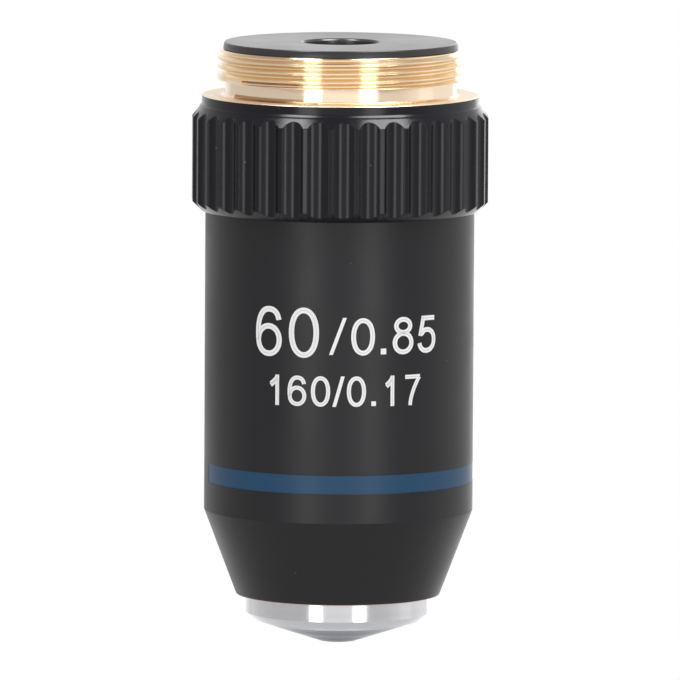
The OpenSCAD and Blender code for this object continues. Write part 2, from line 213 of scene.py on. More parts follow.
def cut_away(piece, cutter):
    """Takes the cutter's shape out of the piece and throws the cutter away."""
    cut = piece.modifiers.new("cut", "BOOLEAN")
    cut.operation = "DIFFERENCE"
    cut.solver = "EXACT"
    cut.object = cutter
    apply_modifiers(piece)
    bpy.data.objects.remove(cutter, do_unlink=True)
    return piece


def even_normals(piece):
    """Keeps wide faces flat beside their small rounded edges."""
    weighted = piece.modifiers.new("even", "WEIGHTED_NORMAL")
    weighted.mode = "FACE_AREA_WITH_ANGLE"
    weighted.keep_sharp = True
    return apply_modifiers(piece)


# Finishes

def group(name, inputs, outputs):
    """A shader node group with named sockets; returns it with its two end nodes."""
    tree = bpy.data.node_groups.new(name, "ShaderNodeTree")
    for label, value in inputs:
        socket = tree.interface.new_socket(name=label, in_out="INPUT", socket_type="NodeSocketFloat")
        socket.default_value = value
    for label, kind in outputs:
        tree.interface.new_socket(name=label, in_out="OUTPUT", socket_type=kind)
    return tree, tree.nodes.new("NodeGroupInput"), tree.nodes.new("NodeGroupOutput")


def math_node(tree, operation, first, second=None, clamp=False):
    node = tree.nodes.new("ShaderNodeMath")
    node.operation = operation
    node.use_clamp = clamp
    for place, value in enumerate((first, second)):
        if value is None:
            continue
        if isinstance(value, (int, float)):
            node.inputs[place].default_value = value
        else:
            tree.links.new(value, node.inputs[place])
    return node.outputs[0]


def make_turning_marks():
    """Fine rings left by a lathe tool, round cylinders and faces alike."""
    tree, start, end = group(
        "turning marks",
        [("Rings per mm", 4.0), ("Wander", 0.3)],
        [("Height", "NodeSocketFloat"), ("Shade", "NodeSocketFloat")],
    )
    place = tree.nodes.new("ShaderNodeTexCoord")
    parts = tree.nodes.new("ShaderNodeSeparateXYZ")
    tree.links.new(place.outputs["Object"], parts.inputs[0])
    square = math_node(
        tree, "ADD",
        math_node(tree, "MULTIPLY", parts.outputs["X"], parts.outputs["X"]),
        math_node(tree, "MULTIPLY", parts.outputs["Y"], parts.outputs["Y"]),
    )
    radius = math_node(tree, "SQRT", square)
    scale = math_node(tree, "MULTIPLY", start.outputs["Rings per mm"], 1000)
    bend = tree.nodes.new("ShaderNodeCombineXYZ")
    tree.links.new(math_node(tree, "MULTIPLY", radius, scale), bend.inputs["X"])
    tree.links.new(math_node(tree, "MULTIPLY", parts.outputs["Z"], scale), bend.inputs["Y"])
    bearing = math_node(tree, "ARCTAN2", parts.outputs["Y"], parts.outputs["X"])
    wander = math_node(tree, "MULTIPLY", bearing, start.outputs["Wander"])
    tree.links.new(wander, bend.inputs["Z"])
    rings = tree.nodes.new("ShaderNodeTexNoise")
    rings.inputs["Scale"].default_value = 1.0
    rings.inputs["Detail"].default_value = 3.0
    rings.inputs["Roughness"].default_value = 0.6
    tree.links.new(bend.outputs[0], rings.inputs["Vector"])
    tree.links.new(rings.outputs["Fac"], end.inputs["Height"])
    broad = tree.nodes.new("ShaderNodeTexNoise")
    broad.inputs["Scale"].default_value = 0.22
    broad.inputs["Detail"].default_value = 2.0
    tree.links.new(bend.outputs[0], broad.inputs["Vector"])
    tree.links.new(broad.outputs["Fac"], end.inputs["Shade"])
    return tree


def make_skin_grain():
    """The fine uneven skin of a sprayed or blasted surface, with a few dust specks."""
    tree, start, end = group(
        "skin grain",
        [("Grains per mm", 8.0), ("Specks per mm", 1.2), ("Speck size", 0.1)],
        [("Height", "NodeSocketFloat"), ("Cloud", "NodeSocketFloat"), ("Specks", "NodeSocketFloat")],
    )
    place = tree.nodes.new("ShaderNodeTexCoord")

    def noise(scale, detail):
        node = tree.nodes.new("ShaderNodeTexNoise")
        node.inputs["Detail"].default_value = detail
        tree.links.new(place.outputs["Object"], node.inputs["Vector"])
        if isinstance(scale, float):
            node.inputs["Scale"].default_value = scale
        else:
            tree.links.new(scale, node.inputs["Scale"])
        return node.outputs["Fac"]

    grains = math_node(tree, "MULTIPLY", start.outputs["Grains per mm"], 1000)
    tree.links.new(noise(grains, 2.0), end.inputs["Height"])
    tree.links.new(noise(160.0, 3.0), end.inputs["Cloud"])
    cells = tree.nodes.new("ShaderNodeTexVoronoi")
    tree.links.new(place.outputs["Object"], cells.inputs["Vector"])
    speck_scale = math_node(tree, "MULTIPLY", start.outputs["Specks per mm"], 1000)
    tree.links.new(speck_scale, cells.inputs["Scale"])
    near = math_node(tree, "LESS_THAN", cells.outputs["Distance"], start.outputs["Speck size"])
    parts = tree.nodes.new("ShaderNodeSeparateColor")
    tree.links.new(cells.outputs["Color"], parts.inputs[0])
    few = math_node(tree, "GREATER_THAN", parts.outputs["Red"], 0.8)
    tree.links.new(math_node(tree, "MULTIPLY", near, few), end.inputs["Specks"])
    return tree


TURNING = make_turning_marks()
GRAIN = make_skin_grain()


class Finish:
    """A Principled material that is built up from the shared groups."""

    def __init__(self, name, colour, rough, metal=0.0, specular=0.5, ior=1.5):
        self.material = bpy.data.materials.new(name)
        self.material.use_nodes = True
        self.tree = self.material.node_tree
        self.shader = self.tree.nodes["Principled BSDF"]
        self.shader.inputs["Base Color"].default_value = (*colour, 1)
        self.shader.inputs["Roughness"].default_value = rough
        self.shader.inputs["Metallic"].default_value = metal
        self.shader.inputs["Specular IOR Level"].default_value = specular
        self.shader.inputs["IOR"].default_value = ior
        self.material.diffuse_color = (*colour, 1)
        self.base = colour
        self.colour = None
        self.normal = None

    def add(self, tree, **values):
        """Places a shared group, with its inputs set to this finish's own values."""
        node = self.tree.nodes.new("ShaderNodeGroup")
        node.node_tree = tree
        for label, value in values.items():
            node.inputs[label.replace("_", " ")].default_value = value
        return node

    def round_edges(self, radius_mm):
        """Makes sharp edges catch the light as if they were slightly rounded."""
        node = self.tree.nodes.new("ShaderNodeBevel")
        node.samples = 6
        node.inputs["Radius"].default_value = radius_mm * MM
        self.normal = node.outputs[0]
        self.tree.links.new(self.normal, self.shader.inputs["Normal"])

    def streak(self, amount):
        """Draws highlights out across the fine rings of a turned surface, as on real turned metal."""
        place = self.tree.nodes.new("ShaderNodeTexCoord")
        around = self.tree.nodes.new("ShaderNodeVectorMath")
        around.operation = "CROSS_PRODUCT"
        around.inputs[0].default_value = (0, 0, 1)
        self.tree.links.new(place.outputs["Object"], around.inputs[1])
        unit = self.tree.nodes.new("ShaderNodeVectorMath")
        unit.operation = "NORMALIZE"
        self.tree.links.new(around.outputs[0], unit.inputs[0])
        self.tree.links.new(unit.outputs[0], self.shader.inputs["Tangent"])
        self.shader.inputs["Anisotropic"].default_value = amount
        self.shader.inputs["Anisotropic Rotation"].default_value = 0.25

    def bump(self, height, depth_mm):
        node = self.tree.nodes.new("ShaderNodeBump")
        node.inputs["Strength"].default_value = 1.0
        node.inputs["Distance"].default_value = depth_mm * MM
        self.tree.links.new(height, node.inputs["Height"])
        if self.normal is not None:
            self.tree.links.new(self.normal, node.inputs["Normal"])
        self.normal = node.outputs[0]
        self.tree.links.new(self.normal, self.shader.inputs["Normal"])

    def tint(self, mask, colour, amount=1.0):
        """Mixes another colour in where the mask is bright."""
        node = self.tree.nodes.new("ShaderNodeMix")
        node.data_type = "RGBA"
        share = math_node(self.tree, "MULTIPLY", mask, amount, clamp=True)
        self.tree.links.new(share, node.inputs["Factor"])
        if self.colour is None:
            node.inputs["A"].default_value = (*self.base, 1)
        else:
            self.tree.links.new(self.colour, node.inputs["A"])
        node.inputs["B"].default_value = (*colour, 1)
        self.colour = node.outputs["Result"]
        self.tree.links.new(self.colour, self.shader.inputs["Base Color"])

    def vary_rough(self, mask, low, high):
        node = self.tree.nodes.new("ShaderNodeMapRange")
        self.tree.links.new(mask, node.inputs["Value"])
        node.inputs["From Min"].default_value = 0.3
        node.inputs["From Max"].default_value = 0.7
        node.inputs["To Min"].default_value = low
        node.inputs["To Max"].default_value = high
        self.tree.links.new(node.outputs[0], self.shader.inputs["Roughness"])


def turned_brass(name, colour, rough, rings=5.0, streak=0.85, edge=0.04):
    finish = Finish(name, colour, rough, metal=1.0)
    finish.round_edges(edge)
    marks = finish.add(TURNING, Rings_per_mm=rings, Wander=0.4)
    finish.bump(marks.outputs["Height"], 0.0012)
    finish.tint(marks.outputs["Shade"], tuple(c * 0.8 for c in colour), 0.45)
    finish.vary_rough(marks.outputs["Shade"], rough * 0.85, rough * 1.2)
    finish.streak(streak)
    return finish.material


def satin_enamel():
    finish = Finish("black satin enamel", (0.0066, 0.0058, 0.0078), 0.40, specular=0.33)
    finish.round_edges(0.05)
    grain = finish.add(GRAIN, Grains_per_mm=7.0, Specks_per_mm=0.9, Speck_size=0.06)
    finish.bump(grain.outputs["Height"], 0.0030)
    finish.tint(grain.outputs["Cloud"], (0.0084, 0.0074, 0.0084), 0.6)
    finish.tint(grain.outputs["Specks"], (0.11, 0.10, 0.10), 0.6)
    finish.vary_rough(grain.outputs["Cloud"], 0.36, 0.44)
    return finish.material


def glossy_enamel():
    """The shinier enamel of the grip, thick and soft over every edge."""
    finish = Finish("black glossy enamel", (0.0040, 0.0038, 0.0062), 0.19, specular=0.24)
    finish.round_edges(0.13)
    grain = finish.add(GRAIN, Grains_per_mm=5.0, Specks_per_mm=0.8, Speck_size=0.07)
    finish.bump(grain.outputs["Height"], 0.0012)
    finish.tint(grain.outputs["Cloud"], (0.0062, 0.0059, 0.0090), 0.6)
    finish.tint(grain.outputs["Specks"], (0.09, 0.09, 0.09), 0.5)
    finish.vary_rough(grain.outputs["Cloud"], 0.165, 0.225)
    return finish.material


def black_anodising(name, rough, specular):
    finish = Finish(name, (0.014, 0.013, 0.014), rough, specular=specular)
    finish.round_edges(0.07)
    grain = finish.add(GRAIN, Grains_per_mm=6.0, Specks_per_mm=1.1, Speck_size=0.07)
    finish.bump(grain.outputs["Height"], 0.0016)
    marks = finish.add(TURNING, Rings_per_mm=2.6, Wander=0.2)
    finish.tint(marks.outputs["Shade"], (0.022, 0.021, 0.022), 0.7)
    finish.tint(grain.outputs["Specks"], (0.1, 0.1, 0.1), 0.5)
    finish.vary_rough(grain.outputs["Cloud"], rough * 0.87, rough * 1.23)
    return finish.material


def blue_enamel():
    finish = Finish("blue enamel", (0.0125, 0.052, 0.108), 0.36, specular=0.25)
    grain = finish.add(GRAIN, Grains_per_mm=5.0, Specks_per_mm=1.0, Speck_size=0.05)
    finish.bump(grain.outputs["Height"], 0.0015)
    finish.tint(grain.outputs["Cloud"], (0.0100, 0.043, 0.092), 0.6)
    finish.vary_rough(grain.outputs["Cloud"], 0.33, 0.44)
    return finish.material


def nickel_plate(name, colour, rough, streak, grazing=(1, 1, 1)):
    """Turned and plated metal. The grazing colour is what it mirrors at a flat angle."""
    finish = Finish(name, colour, rough, metal=1.0)
    finish.shader.inputs["Specular Tint"].default_value = (*grazing, 1)
    finish.round_edges(0.035)
    marks = finish.add(TURNING, Rings_per_mm=6.0, Wander=0.3)
    finish.bump(marks.outputs["Height"], 0.0009)
    finish.tint(marks.outputs["Shade"], tuple(c * 0.82 for c in colour), 0.6)
    grain = finish.add(GRAIN, Grains_per_mm=6.0, Specks_per_mm=0.8, Speck_size=0.06)
    finish.tint(grain.outputs["Specks"], tuple(c * 0.45 for c in colour), 0.5)
    finish.vary_rough(marks.outputs["Shade"], rough * 0.85, rough * 1.2)
    finish.streak(streak)
    return finish.material


def plain_steel(name, colour, rough):
    finish = Finish(name, colour, rough, metal=1.0)
    grain = finish.add(GRAIN, Grains_per_mm=12.0, Specks_per_mm=2.0, Speck_size=0.1)
    finish.bump(grain.outputs["Height"], 0.0012)
    finish.tint(grain.outputs["Cloud"], tuple(c * 0.7 for c in colour), 0.6)
    finish.vary_rough(grain.outputs["Cloud"], rough * 0.8, rough * 1.3)
    return finish.material


def optical_glass(name, colour, ior):
    finish = Finish(name, colour, 0.01, ior=ior)
    finish.shader.inputs["Transmission Weight"].default_value = 1.0
    finish.shader.inputs["Coat Weight"].default_value = 0.3
    finish.shader.inputs["Coat Tint"].default_value = (0.62, 0.7, 1.0, 1)
    grain = finish.add(GRAIN, Grains_per_mm=2.0, Specks_per_mm=1.0, Speck_size=0.03)
    finish.vary_rough(grain.outputs["Cloud"], 0.0, 0.02)
    return finish.material


def marking_paint(name, colour, dark):
    finish = Finish(name, colour, 0.55, specular=0.3)
    grain = finish.add(GRAIN, Grains_per_mm=9.0, Specks_per_mm=4.0, Speck_size=0.1)
    finish.bump(grain.outputs["Height"], 0.003)
    finish.tint(grain.outputs["Height"], dark, 0.35)
    finish.vary_rough(grain.outputs["Cloud"], 0.48, 0.62)
    return finish.material


BRASS = turned_brass("bright turned brass", (0.94, 0.75, 0.52), 0.19, edge=0.01)
SMOOTH_BRASS = turned_brass("smooth turned brass", (0.95, 0.76, 0.565), 0.13, rings=7.0, streak=0.4)
# Darker brass used as painted shade at the relief's foot, under the thread and on the lowest groove's upper
# flank
PAINTED_SHADE_BRASS = turned_brass("brass darkened by painted shade in the groove", (0.50, 0.31, 0.16), 0.30)
# Rougher brass for the shoulder's rounded edge and outer face; its paler colour is a painted highlight
PAINTED_HIGHLIGHT_EDGE_BRASS = turned_brass("rounded brass edge paled by painted highlight", (0.95, 0.80, 0.62), 0.36, streak=0.2)
BARE_EDGE = turned_brass("bare edge of the sleeve", (0.78, 0.50, 0.40), 0.30)
INNER_BRASS = turned_brass("inner turned brass", (0.72, 0.52, 0.30), 0.36, rings=4.0, streak=0.5)
SATIN_BLACK = satin_enamel()
GLOSSY_BLACK = glossy_enamel()
ANODISED = black_anodising("black anodising", 0.22, 0.82)
RIM_ANODISED = black_anodising("duller anodising of the disc's rim", 0.3, 0.42)
BLUE = blue_enamel()
NICKEL = nickel_plate("satin nickel plate", (0.69, 0.685, 0.71), 0.19, 0.85)
# A darker copy of the nickel, used as painted shade on the nose's rim bevel
PAINTED_SHADE_RIM_NICKEL = nickel_plate("turned rim of the nose darkened by painted shade", (0.54, 0.545, 0.57), 0.24, 0.5)
# A dark copy of the nickel, used as painted shade for the shadowed surroundings that the front cone mirrors
PAINTED_SHADE_FRONT_NICKEL = nickel_plate("turned front darkened by painted shade", (0.085, 0.089, 0.097), 0.26, 0.4,
                           grazing=(0.79, 0.81, 0.84))
SHIM_STEEL = plain_steel("rolled shim steel", (0.58, 0.57, 0.55), 0.34)
SPRING_STEEL = plain_steel("drawn spring wire", (0.46, 0.46, 0.47), 0.28)
SCREW_STEEL = plain_steel("screw steel", (0.42, 0.42, 0.43), 0.32)
CROWN_GLASS = optical_glass("crown glass", (0.97, 0.99, 0.99), 1.52)
FLINT_GLASS = optical_glass("flint glass", (0.99, 0.99, 0.95), 1.62)
WHITE_PAINT = marking_paint("white marking paint", (0.74, 0.73, 0.73), (0.58, 0.57, 0.57))
# Grey paint used as painted shade for the groove along the middle of each stroke
GROOVE_SHADE_PAINT = marking_paint("painted shade of the marking groove", (0.42, 0.42, 0.43), (0.30, 0.30, 0.31))


def dress(piece, *materials):
    piece.data.materials.clear()
    for material in materials:
        piece.data.materials.append(material)
    return piece


def dress_faces(piece, choose, *materials):
    """Gives each face the material that is chosen for its radius, height and bearing in degrees."""
    dress(piece, *materials)
    for face in piece.data.polygons:
        centre = face.center / MM
        radius = math.hypot(centre.x, centre.y)
        bearing = math.degrees(math.atan2(centre.y, centre.x)) % 360
        face.material_index = materials.index(choose(radius, centre.z, bearing))
    return piece


def finish_piece(piece, body, node=None):
    """Sets the body that the piece rides on and the node that it stands in for."""
    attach(piece, body)
    if node:
        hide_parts(node)
    return piece


# Mount body with its thread

def first_groove(bearing):
    """The height of the lowest groove at a bearing in degrees.

    The second groove passes the -X side half a turn on, so the first starts a turn and a half below that.
    """
    return GROOVE_AT_LEFT - THREAD_PITCH * (1.5 - bearing / 360)


def thread_cutter():
    """A V-shaped groove that climbs round the axis as a right-hand screw."""
    flank_slope = math.tan(math.radians(27.5))
    crest_round = 0.07
    root_half = 0.05
    flank_r = THREAD_R - crest_round
    flank_half = root_half + (flank_r - THREAD_ROOT_R) * flank_slope
    mouth_r, mouth_half = THREAD_R + 0.08, 0.338
    section = [
        (THREAD_ROOT_R, -root_half), (flank_r, -flank_half), (mouth_r, -mouth_half),
        (mouth_r, mouth_half), (flank_r, flank_half), (THREAD_ROOT_R, root_half),
    ]
    lowest = first_groove(LET_IN)
    drop_selection()
    bpy.ops.mesh.primitive_circle_add(vertices=len(section), radius=MM)
    cutter = bpy.context.object
    cutter.name = "thread_cutter"
    for vertex, (radius, height) in zip(cutter.data.vertices, section):
        vertex.co = (radius * MM, 0, (lowest + height) * MM)
    coil = cutter.modifiers.new("coil", "SCREW")
    coil.axis = "Z"
    coil.angle = math.tau
    coil.screw_offset = THREAD_PITCH * MM
    coil.iterations = 5
    coil.steps = coil.render_steps = 144
    coil.use_merge_vertices = False
    close_ends(apply_modifiers(cutter))
    cutter.rotation_euler.z = math.radians(LET_IN)
    return settle(cutter)


def flute_cutters():
    """A round cutter for each flute, in a ring round the grip."""
    land, depth = 0.38, 0.4
    chord = 2 * GRIP_R * math.sin(math.pi / FLUTES) - land
    rise = depth - chord ** 2 / (8 * GRIP_R)
    cutter_r = ((chord / 2) ** 2 + rise ** 2) / (2 * rise)
    place = GRIP_R - depth + cutter_r
    low, high = GRIP_END - 1, -0.36     # past the grip's foot, and up into the collar
    cutters = []
    for i in range(FLUTES):
        turn = math.radians(FLUTE_TURN + i * 360 / FLUTES)
        drop_selection()
        bpy.ops.mesh.primitive_cylinder_add(
            vertices=64, radius=cutter_r * MM, depth=(high - low) * MM,
            location=(place * math.cos(turn) * MM, place * math.sin(turn) * MM, (low + high) / 2 * MM),
            rotation=(0, 0, turn),
        )
        cutters.append(bpy.context.object)
    return join(cutters)


def mount_finish(radius, height, bearing):
    """Black below the shoulder and brass above it, darkened with painted shade at one side of the relief and
    the thread, and paler with painted highlight at the shoulder's outer edge.
    """
    outside = radius > SPIGOT_R + 0.05 or height < GRIP_END + 0.02
    if height < -0.06 and outside:
        return GLOSSY_BLACK
    if radius > RELIEF_R - 0.1 and -0.2 < height < RELIEF_TOP - 0.02:
        # Painted shade: darker brass along the foot of the relief on one side and under the thread
        at_foot = 0.02 < height < 0.3 and 205 < bearing < 251
        under_thread = height > RELIEF_TOP - 0.09 and LET_IN < bearing < 258
        if at_foot or under_thread:
            return PAINTED_SHADE_BRASS
        # Paler brass on the shoulder's outer part is a painted highlight
        return PAINTED_HIGHLIGHT_EDGE_BRASS if radius > RELIEF_R + 0.33 else SMOOTH_BRASS
    # Painted shade on the upper flank of the lowest groove at one side
    if radius < THREAD_R - 0.02 and LET_IN - 1 < bearing < 250:
        groove = first_groove(bearing)
        if groove + 0.06 < height < groove + 0.34:
            return PAINTED_SHADE_BRASS
    return BRASS


def make_mount_body():
    bevel = 0.4
    collar_r, collar_top, collar_foot = SHOULDER_R + 0.2, -0.92, -1.0
    grip_top, grip_bevel = -1.8, 0.75
    inner_r, inner_ledge = SPIGOT_R + SEAT_GAP, -2.2
    outline = eased([
        (REAR_BORE_R, THREAD_TOP), (THREAD_R - bevel, THREAD_TOP), (THREAD_R, THREAD_TOP - bevel),
        (THREAD_R, RELIEF_TOP), (RELIEF_R, RELIEF_TOP - 0.06), (RELIEF_R, 0, 0.34),
        (SHOULDER_R, 0, 0.12), (SHOULDER_R, collar_top + 0.2), (collar_r, collar_top),
        (collar_r, collar_foot), (GRIP_R, grip_top), (GRIP_R, GRIP_END + grip_bevel),
        (GRIP_R - grip_bevel, GRIP_END), (inner_r, GRIP_END), (inner_r, inner_ledge),
        (REAR_BORE_R, inner_ledge),
    ], 0.05)
    body = turned("mount_body_threaded", outline)
    cut_away(body, flute_cutters())
    cut_away(body, thread_cutter())
    dress_faces(body, mount_finish, BRASS, GLOSSY_BLACK, SMOOTH_BRASS, PAINTED_SHADE_BRASS, PAINTED_HIGHLIGHT_EDGE_BRASS)
    smooth(body)
    even_normals(body)
    return finish_piece(body, "mount", "mount_body")


make_mount_body()


# Rear stop

def make_rear_stop():
    disc_r, disc_top, hole_r = 9.52, 4.35, 3.1
    boss_r, boss_foot = REAR_BORE_R - SEAT_GAP, 1.95
    hole_bevel = 0.15
    outline = eased([
        (hole_r + hole_bevel, disc_top), (disc_r, disc_top), (disc_r + 0.13, THREAD_TOP),
        (boss_r, THREAD_TOP), (boss_r, boss_foot), (hole_r, boss_foot), (hole_r, disc_top - hole_bevel),
    ], 0.12)

    def stop_finish(radius, height, bearing):
        return RIM_ANODISED if radius > disc_r - 0.02 and height > THREAD_TOP - 0.05 else ANODISED

    stop = turned("rear_stop_disc", outline)
    dress_faces(stop, stop_finish, ANODISED, RIM_ANODISED)
    smooth(stop)
    even_normals(stop)
    return finish_piece(stop, "mount", "rear_stop")


make_rear_stop()


# Outer sleeve and colour band

BAND_TOP, BAND_LOW = -30.13, -31.67
BAND_FROM, BAND_SWEEP = 195.7, 336.0    # degrees round the axis
BAND_DEPTH = 0.08


def band_strip(name, inner, outer):
    """A strip that runs most of the way round, from one end of the band to the other."""
    drop_selection()
    bpy.ops.mesh.primitive_plane_add(size=1)
    strip = bpy.context.object
    strip.name = name
    corners = [(inner, BAND_LOW), (outer, BAND_LOW), (inner, BAND_TOP), (outer, BAND_TOP)]
    start = math.radians(BAND_FROM)
    for vertex, (radius, height) in zip(strip.data.vertices, corners):
        vertex.co = (radius * math.cos(start) * MM, radius * math.sin(start) * MM, height * MM)
    edit_all(strip)
    bpy.ops.mesh.delete(type="ONLY_FACE")
    bpy.ops.object.mode_set(mode="OBJECT")
    turn = strip.modifiers.new("turn", "SCREW")
    turn.axis = "Z"
    turn.angle = math.radians(BAND_SWEEP)
    turn.steps = turn.render_steps = 268
    return close_ends(apply_modifiers(strip))


def sleeve_finish(radius, height, bearing):
    return BARE_EDGE if height < SLEEVE_END + 0.07 else SATIN_BLACK


def make_sleeve():
    cone_end_r, bore_r, ledge = 8.45, 9.3, -35.0
    retainer_r, retainer_seat = 9.5, -17.5
    key_half, key_r = 0.55, 9.9
    outline = eased([
        (retainer_r, SLEEVE_TOP), (SPIGOT_R, SLEEVE_TOP), (SPIGOT_R, GRIP_END), (SLEEVE_R, GRIP_END),
        (SLEEVE_R, CONE_TOP), (cone_end_r, SLEEVE_END + 0.3), (cone_end_r - 0.09, SLEEVE_END + 0.09),
        (cone_end_r - 0.3, SLEEVE_END), (GUIDE_R, SLEEVE_END), (GUIDE_R, ledge), (bore_r, ledge),
        (bore_r, retainer_seat), (retainer_r, retainer_seat),
    ], 0.04)
    sleeve = turned("sleeve_skin", outline)
    cut_away(sleeve, bar("keyway", (-key_half, 0, ledge), (key_half, key_r, 0)))
    cut_away(sleeve, band_strip("band_groove", SLEEVE_R - BAND_DEPTH, SLEEVE_R + 0.5))
    dress_faces(sleeve, sleeve_finish, SATIN_BLACK, BARE_EDGE)
    smooth(sleeve)
    even_normals(sleeve)
    return finish_piece(sleeve, "mount", "outer_sleeve")


def make_colour_band():
    sunk = 0.015
    band = band_strip("band_enamel", SLEEVE_R - BAND_DEPTH, SLEEVE_R - sunk)
    soften = band.modifiers.new("soften", "BEVEL")
    soften.width = 0.02 * MM
    soften.segments = 2
    soften.limit_method = "ANGLE"
    apply_modifiers(band)
    smooth(band)
    even_normals(band)
    return finish_piece(dress(band, BLUE), "mount", "colour_band")


make_sleeve()
make_colour_band()


# Nose

def make_nose_cap():
    tube_r, front_r, tip_r = 6.3, 6.04, 1.53
    pocket_r, lens_r, light_r = 3.0, 1.11, 0.8
    top, rim_top, rim_foot, front_top, tip = -34.98, -42.62, -43.24, -43.48, -44.98
    pocket_top, pocket_foot, lens_seat = -41.9, -44.0, -44.165
    outline = eased([
        (tube_r, top), (NOSE_R, top), (NOSE_R, rim_top), (NOSE_R - 0.75, rim_foot),
        (front_r + 0.03, rim_foot - 0.01), (front_r, front_top), (tip_r, tip), (lens_r, tip),
        (lens_r, lens_seat), (light_r, lens_seat), (light_r, pocket_foot), (pocket_r, pocket_foot),
        (pocket_r, pocket_top), (tube_r, pocket_top),
    ], 0.04)

    # Painted shade: the front cone and the rim bevel get darker copies of the nickel
    def nose_finish(radius, height, bearing):
        if height < front_top - 0.01:
            return PAINTED_SHADE_FRONT_NICKEL
        if rim_foot - 0.06 < height < rim_top - 0.03:
            return PAINTED_SHADE_RIM_NICKEL
        return NICKEL

    cap = turned("nose_cap_plated", outline)
    dress_faces(cap, nose_finish, NICKEL, PAINTED_SHADE_FRONT_NICKEL, PAINTED_SHADE_RIM_NICKEL)
    smooth(cap)
    even_normals(cap)
    return finish_piece(cap, "nose", "nose_cap")


def make_front_lens():
    """A half ball with its flat side in the tip."""
    ball_r, flat = 1.1, -44.92
    drop_selection()
    bpy.ops.mesh.primitive_uv_sphere_add(
        segments=64, ring_count=32, radius=ball_r * MM, location=(0, 0, flat * MM)
    )
    lens = bpy.context.object
    lens.name = "front_lens_half_ball"
    edit_all(lens)
    bpy.ops.mesh.bisect(
        plane_co=(0, 0, flat * MM), plane_no=(0, 0, 1), use_fill=True, clear_inner=True
    )
    bpy.ops.object.mode_set(mode="OBJECT")
    settle(lens)
    smooth(tidy_mesh(lens, 0.0001 * MM))
    return finish_piece(dress(lens, CROWN_GLASS), "nose", "front_lens")


make_nose_cap()
make_front_lens()


# Spring

def make_spring():
    """The coil in the sleeve, which on the real objective shortens as the nose is pushed in; here it rides
    on the mount at one length.
    """
    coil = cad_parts["retraction_spring"].copy()
    coil.data = coil.data.copy()
    coil.name = "spring_coil"
    bpy.context.scene.collection.objects.link(coil)
    coil.parent = None
    coil.matrix_world.identity()
    tidy_mesh(coil, 0.001 * MM)
    smooth(coil, 60)
    dress(coil, SPRING_STEEL)
    finish_piece(coil, "mount", "retraction_spring")
    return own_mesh(coil)


make_spring()


# Numbers on the sleeve

# A numeral is drawn as its centre line on a unit square. Each knot of a stroke is three places: its own and
# those of its two handles.

def oval(cx, cy, rx, ry, round_x=0.56, round_y=0.56):
    """A closed ring. Handles longer than 0.55 of its radii make it squarer than an ellipse."""
    hx, hy = rx * round_x, ry * round_y
    return {
        "closed": True,
        "points": [
            ((cx, cy + ry), (cx + hx, cy + ry), (cx - hx, cy + ry)),
            ((cx - rx, cy), (cx - rx, cy + hy), (cx - rx, cy - hy)),
            ((cx, cy - ry), (cx - hx, cy - ry), (cx + hx, cy - ry)),
            ((cx + rx, cy), (cx + rx, cy - hy), (cx + rx, cy + hy)),
        ],
    }


def line(start, end):
    """A straight stroke, with its handles a third of the way along."""
    near_start = tuple(s + (e - s) / 3 for s, e in zip(start, end))
    near_end = tuple(e + (s - e) / 3 for s, e in zip(start, end))
    return {"closed": False, "points": [(start, start, near_start), (end, near_end, end)]}


def sweep(*knots):
    """A curved stroke through its knots."""
    return {"closed": False, "points": list(knots)}


# Strokes that end flat on the foot or the top of the line reach past the square by half their width.
NUMERALS = {
    "0": [oval(0.5, 0.5, 0.5, 0.5, 0.58, 0.62)],
    "1": [
        line((1.0, -0.075), (1.0, 1.075)),
        sweep(((0.0, 0.73), (0.0, 0.73), (0.35, 0.81)), ((0.95, 1.0), (0.75, 0.88), (0.95, 1.0))),
        sweep(((0.0, 0.67), (0.0, 0.67), (0.35, 0.74)), ((0.92, 0.92), (0.75, 0.82), (0.92, 0.92))),
    ],
    "5": [
        line((1.03, 1.0), (0.14, 1.0)),
        line((0.27, 1.06), (0.05, 0.46)),
        sweep(
            ((0.13, 0.50), (0.13, 0.50), (0.22, 0.60)),
            ((0.50, 0.645), (0.35, 0.645), (0.79, 0.645)),
            ((1.0, 0.33), (1.0, 0.53), (1.0, 0.13)),
            ((0.47, 0.0), (0.78, 0.0), (0.2, 0.0)),
            ((0.0, 0.24), (0.04, 0.09), (0.0, 0.24)),
        ),
    ],
    "6": [
        sweep(
            ((0.98, 0.76), (0.98, 0.76), (0.94, 0.91)),
            ((0.53, 1.0), (0.78, 1.0), (0.19, 1.0)),
            ((0.0, 0.47), (0.0, 0.80), (0.0, 0.38)),
            ((0.02, 0.30), (0.005, 0.34), (0.02, 0.30)),
        ),
        oval(0.51, 0.308, 0.49, 0.308, 0.56, 0.58),
    ],
    "7": [
        line((-0.09, 1.0), (1.04, 1.0)),
        sweep(((0.99, 0.99), (0.99, 0.99), (0.66, 0.70)), ((0.28, -0.075), (0.33, 0.33), (0.28, -0.075))),
    ],
    "8": [oval(0.5, 0.80, 0.42, 0.20), oval(0.5, 0.285, 0.5, 0.285)],
}

# Foot, height and stroke of the three sizes of numerals, in millimetres
POWER = (-20.55, 4.11, 0.46)
APERTURE = (-20.31, 3.05, 0.39)
LOWER_ROW = (-24.50, 2.49, 0.33)

